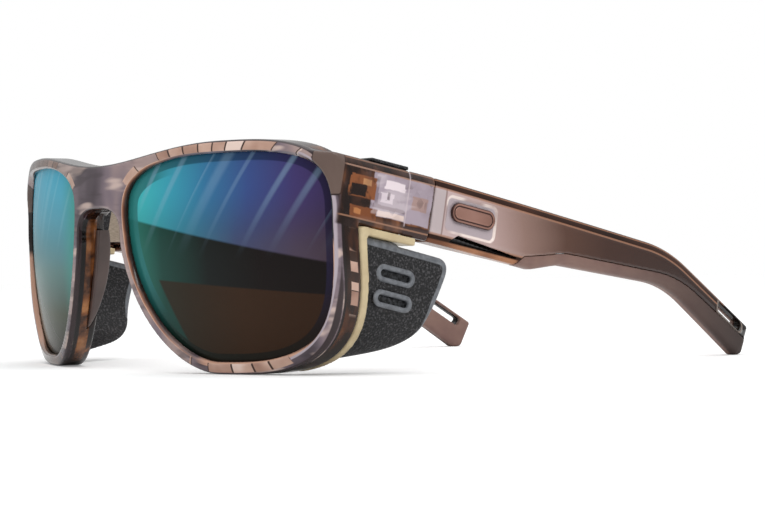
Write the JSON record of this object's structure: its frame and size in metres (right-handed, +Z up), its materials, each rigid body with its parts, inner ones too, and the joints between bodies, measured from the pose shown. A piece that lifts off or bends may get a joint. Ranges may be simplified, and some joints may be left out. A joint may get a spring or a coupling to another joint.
{
  "type": "glacier glasses",
  "caption": "Wrap-around glacier glasses with mirrored lenses, folding temples, soft grips and removable vented side shields.",
  "frame": {"origin": "middle of the bounding box, on the table that the rim bottoms and temple tips stand on", "axes": "+X to the wearer's left, front faces -Y, +Z up"},
  "size_m": [0.1414, 0.1525, 0.0514],
  "materials": {
    "frame_plastic": "translucent smoky brown, polished",
    "temple_plastic": "translucent brown, polished, darker to the back",
    "lens_mirror": "teal to violet mirror coating over a dark brown lens",
    "soft_grip": "matte taupe",
    "hinge_metal": "brushed",
    "badge": "copper-toned satin",
    "shield_black": "fine leather-like texture with grey smooth borders",
    "clip_cream": "satin cream"
  },
  "bodies": {
    "front": {"front_frame": "frame_plastic", "lens_left": "lens_mirror", "lens_right": "lens_mirror", "nose_pad_left": "soft_grip", "nose_pad_right": "soft_grip", "hinge_leaf_front_left": "hinge_metal", "hinge_leaf_front_right": "hinge_metal", "hinge_screw_left": "hinge_metal", "hinge_screw_right": "hinge_metal"},
    "arm_left": {"temple_left": "temple_plastic", "temple_grip_left": "soft_grip", "temple_badge_left": "badge", "hinge_leaf_temple_left": "hinge_metal"},
    "arm_right": {"temple_right": "temple_plastic", "temple_grip_right": "soft_grip", "temple_badge_right": "badge", "hinge_leaf_temple_right": "hinge_metal"},
    "side_shield_left": {"shield_left": "shield_black", "shield_clip_left": "clip_cream"},
    "side_shield_right": {"shield_right": "shield_black", "shield_clip_right": "clip_cream"}
  },
  "joints": [
    {"name": "temple_left_fold", "type": "hinge", "parent": "front", "child": "arm_left", "pos_m": [0.0635, -0.03168, 0.0354], "axis": [0, 0, 1], "range_deg": [0, 90]},
    {"name": "temple_right_fold", "type": "hinge", "parent": "front", "child": "arm_right", "pos_m": [-0.0635, -0.03168, 0.0354], "axis": [0, 0, -1], "range_deg": [0, 80]},
    {"name": "shield_left_unclip", "type": "slide", "parent": "front", "child": "side_shield_left", "axis": [-1, 0, 0], "range_m": [0, 0.007]},
    {"name": "shield_right_unclip", "type": "slide", "parent": "front", "child": "side_shield_right", "axis": [1, 0, 0], "range_m": [0, 0.007]}
  ]
}
